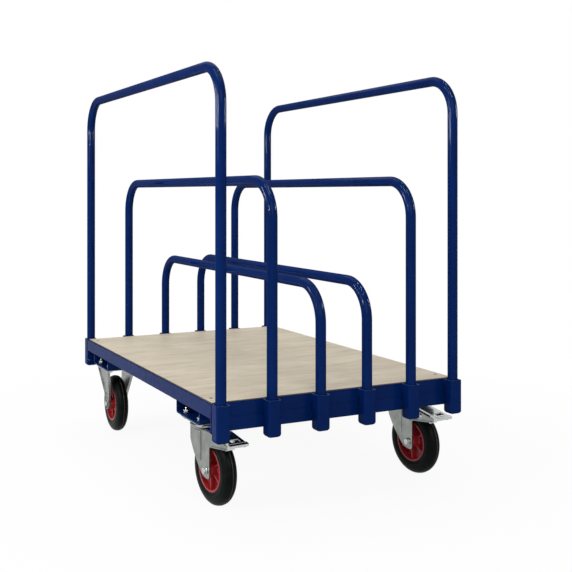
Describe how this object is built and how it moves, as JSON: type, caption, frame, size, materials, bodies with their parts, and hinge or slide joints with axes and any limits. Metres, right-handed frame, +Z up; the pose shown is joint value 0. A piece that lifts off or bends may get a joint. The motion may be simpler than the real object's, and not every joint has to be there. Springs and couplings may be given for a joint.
{
  "type": "sheet goods cart",
  "caption": "Flat-bed cart for boards and sheets: blue steel frame, plywood deck, lift-out tube hoops in sockets, braked swivel castors in front and fixed castors behind.",
  "frame": {"origin": "on the floor under the middle of the cart", "axes": "+Z up, +Y towards the end with the fixed castors along the hoops, +X to the right seen from the front end"},
  "size_m": [0.8, 1.28, 1.232],
  "materials": {
    "blue_paint": "gloss enamel",
    "plywood": "plain birch plywood",
    "zinc_plate": "bright zinc plating",
    "black_rubber": "solid rubber",
    "red_plastic": "moulded polypropylene"
  },
  "bodies": {
    "cart_frame": {"side_rail_left": "blue_paint", "side_rail_right": "blue_paint", "end_rail_front": "blue_paint", "end_rail_rear": "blue_paint", "castor_channel_front": "blue_paint", "castor_channel_rear": "blue_paint", "deck_panel": "plywood", "deck_bearer_1": "blue_paint", "deck_bearer_2": "blue_paint", "deck_bearer_3": "blue_paint", "deck_bearer_4": "blue_paint", "front_socket_1": "blue_paint", "rear_socket_1": "blue_paint", "front_socket_2": "blue_paint", "rear_socket_2": "blue_paint", "front_socket_3": "blue_paint", "rear_socket_3": "blue_paint", "front_socket_4": "blue_paint", "rear_socket_4": "blue_paint", "front_socket_5": "blue_paint", "rear_socket_5": "blue_paint", "front_socket_6": "blue_paint", "rear_socket_6": "blue_paint", "front_left_top_plate": "zinc_plate", "front_left_ball_race": "zinc_plate", "front_left_kingpin": "zinc_plate", "front_right_top_plate": "zinc_plate", "front_right_ball_race": "zinc_plate", "front_right_kingpin": "zinc_plate", "rear_left_bracket": "zinc_plate", "rear_left_axle_bolt": "zinc_plate", "rear_left_axle_tube": "zinc_plate", "rear_right_bracket": "zinc_plate", "rear_right_axle_bolt": "zinc_plate", "rear_right_axle_tube": "zinc_plate"},
    "hoop_1": {"hoop_1_tall": "blue_paint"},
    "hoop_2": {"hoop_2_medium": "blue_paint"},
    "hoop_3": {"hoop_3_short": "blue_paint"},
    "hoop_4": {"hoop_4_short": "blue_paint"},
    "hoop_5": {"hoop_5_medium": "blue_paint"},
    "hoop_6": {"hoop_6_tall": "blue_paint"},
    "front_left_swivel": {"front_left_fork": "zinc_plate", "front_left_axle_bolt": "zinc_plate", "front_left_axle_tube": "zinc_plate", "front_left_pedal_pin": "zinc_plate"},
    "front_left_wheel": {"front_left_tyre": "black_rubber", "front_left_wheel_centre": "red_plastic"},
    "front_left_pedal": {"front_left_brake_pedal": "zinc_plate"},
    "front_right_swivel": {"front_right_fork": "zinc_plate", "front_right_axle_bolt": "zinc_plate", "front_right_axle_tube": "zinc_plate", "front_right_pedal_pin": "zinc_plate"},
    "front_right_wheel": {"front_right_tyre": "black_rubber", "front_right_wheel_centre": "red_plastic"},
    "front_right_pedal": {"front_right_brake_pedal": "zinc_plate"},
    "rear_left_wheel": {"rear_left_tyre": "black_rubber", "rear_left_wheel_centre": "red_plastic"},
    "rear_right_wheel": {"rear_right_tyre": "black_rubber", "rear_right_wheel_centre": "red_plastic"}
  },
  "joints": [
    {"name": "hoop_1_lift", "type": "slide", "parent": "cart_frame", "child": "hoop_1", "axis": [0, 0, 1], "range_m": [0, 0.15]},
    {"name": "hoop_2_lift", "type": "slide", "parent": "cart_frame", "child": "hoop_2", "axis": [0, 0, 1], "range_m": [0, 0.15]},
    {"name": "hoop_3_lift", "type": "slide", "parent": "cart_frame", "child": "hoop_3", "axis": [0, 0, 1], "range_m": [0, 0.15]},
    {"name": "hoop_4_lift", "type": "slide", "parent": "cart_frame", "child": "hoop_4", "axis": [0, 0, 1], "range_m": [0, 0.15]},
    {"name": "hoop_5_lift", "type": "slide", "parent": "cart_frame", "child": "hoop_5", "axis": [0, 0, 1], "range_m": [0, 0.15]},
    {"name": "hoop_6_lift", "type": "slide", "parent": "cart_frame", "child": "hoop_6", "axis": [0, 0, 1], "range_m": [0, 0.15]},
    {"name": "front_left_swivel_turn", "type": "hinge", "parent": "cart_frame", "child": "front_left_swivel", "pos_m": [-0.34, -0.428, 0.235], "axis": [0, 0, 1], "continuous": true},
    {"name": "front_left_wheel_roll", "type": "hinge", "parent": "front_left_swivel", "child": "front_left_wheel", "pos_m": [-0.33467, -0.47872, 0.1], "axis": [0.9945, 0.1045, 0], "continuous": true},
    {"name": "front_left_pedal_press", "type": "hinge", "parent": "front_left_swivel", "child": "front_left_pedal", "pos_m": [-0.32849, -0.53755, 0.19215], "axis": [0.9945, 0.1045, 0], "range_deg": [0, 8]},
    {"name": "front_right_swivel_turn", "type": "hinge", "parent": "cart_frame", "child": "front_right_swivel", "pos_m": [0.34, -0.428, 0.235], "axis": [0, 0, 1], "continuous": true},
    {"name": "front_right_wheel_roll", "type": "hinge", "parent": "front_right_swivel", "child": "front_right_wheel", "pos_m": [0.34533, -0.47872, 0.1], "axis": [0.9945, 0.1045, 0], "continuous": true},
    {"name": "front_right_pedal_press", "type": "hinge", "parent": "front_right_swivel", "child": "front_right_pedal", "pos_m": [0.35151, -0.53755, 0.19215], "axis": [0.9945, 0.1045, 0], "range_deg": [0, 8]},
    {"name": "rear_left_wheel_roll", "type": "hinge", "parent": "cart_frame", "child": "rear_left_wheel", "pos_m": [-0.34, 0.428, 0.1], "axis": [1, 0, 0], "continuous": true},
    {"name": "rear_right_wheel_roll", "type": "hinge", "parent": "cart_frame", "child": "rear_right_wheel", "pos_m": [0.34, 0.428, 0.1], "axis": [1, 0, 0], "continuous": true}
  ]
}
